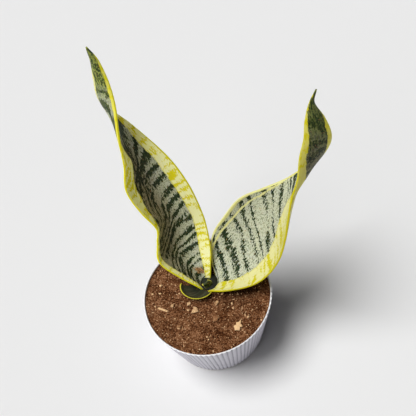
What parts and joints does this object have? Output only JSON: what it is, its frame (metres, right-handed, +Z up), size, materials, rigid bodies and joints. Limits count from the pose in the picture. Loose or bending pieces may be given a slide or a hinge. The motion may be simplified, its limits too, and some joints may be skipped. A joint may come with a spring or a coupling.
{
  "type": "potted snake plant",
  "caption": "Snake plant with broad, hollow, twisting variegated leaves that lean apart, growing from dark soil in a round tapered pot with fine upright ribs.",
  "frame": {"origin": "centre of the pot's flat underside, on the surface it stands on", "axes": "+Z up along the pot's axis; +Y away from the viewer, the way the left leaf leans back; +X to the viewer's right, the way the right leaf leans"},
  "size_m": [0.1902, 0.1727, 0.3048],
  "materials": {
    "pot_glaze": "satin white with a cool cast",
    "soil": null,
    "leaf": null,
    "young_leaf": "waxy satin, dark green with a yellow-green edge",
    "sheath": "matte, dark olive with a thin yellow edge",
    "bark": "rough, tan to dark brown"
  },
  "bodies": {
    "root": {"pot": "pot_glaze", "soil": "soil", "leaf_left": "leaf", "leaf_right": "leaf", "young_leaf": "young_leaf", "sheath_leaf": "sheath", "bark_chip_1": "bark", "bark_chip_2": "bark", "bark_chip_3": "bark", "bark_chip_4": "bark", "bark_chip_5": "bark", "bark_chip_6": "bark", "bark_chip_7": "bark", "bark_chip_8": "bark"}
  },
  "joints": []
}
